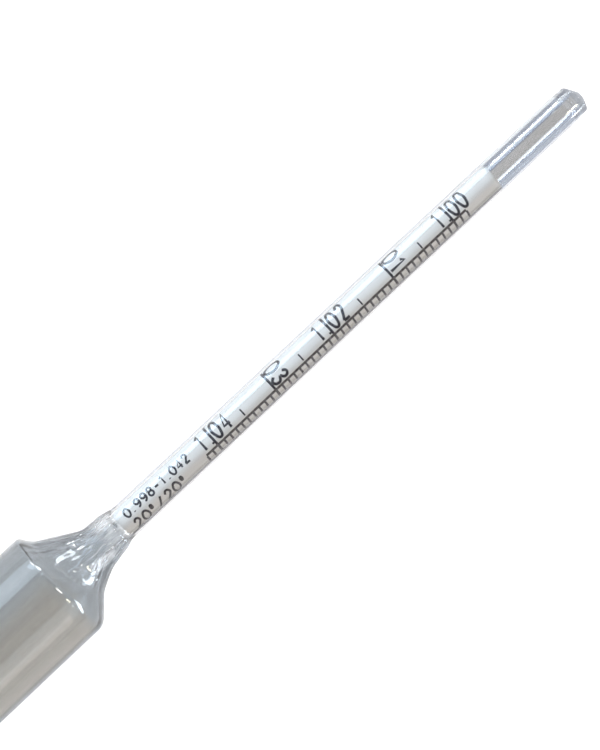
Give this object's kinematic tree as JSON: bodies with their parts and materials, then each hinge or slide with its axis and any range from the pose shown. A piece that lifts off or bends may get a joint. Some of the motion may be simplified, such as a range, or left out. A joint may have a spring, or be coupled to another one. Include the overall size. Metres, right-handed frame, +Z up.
{
  "type": "lactometer",
  "caption": "Sealed glass float with a long round-bottomed bulb, a flared shoulder and a thin stem holding a rolled paper scale; steel shot under wax weighs it down.",
  "frame": {"origin": "under the middle of the instrument, at the height of the surface that the bulb lies on", "axes": "+X along the instrument's axis, from the bulb to the sealed tip of the stem; +Z up as it lies at rest"},
  "size_m": [0.2218, 0.019, 0.019],
  "materials": {
    "clear_glass": "polished",
    "scale_paper": "matte",
    "steel_shot": "satin",
    "wax": "waxy"
  },
  "bodies": {
    "root": {"glass_body": "clear_glass", "scale_paper": "scale_paper", "ballast_shot": "steel_shot", "wax_plug": "wax"}
  },
  "joints": []
}
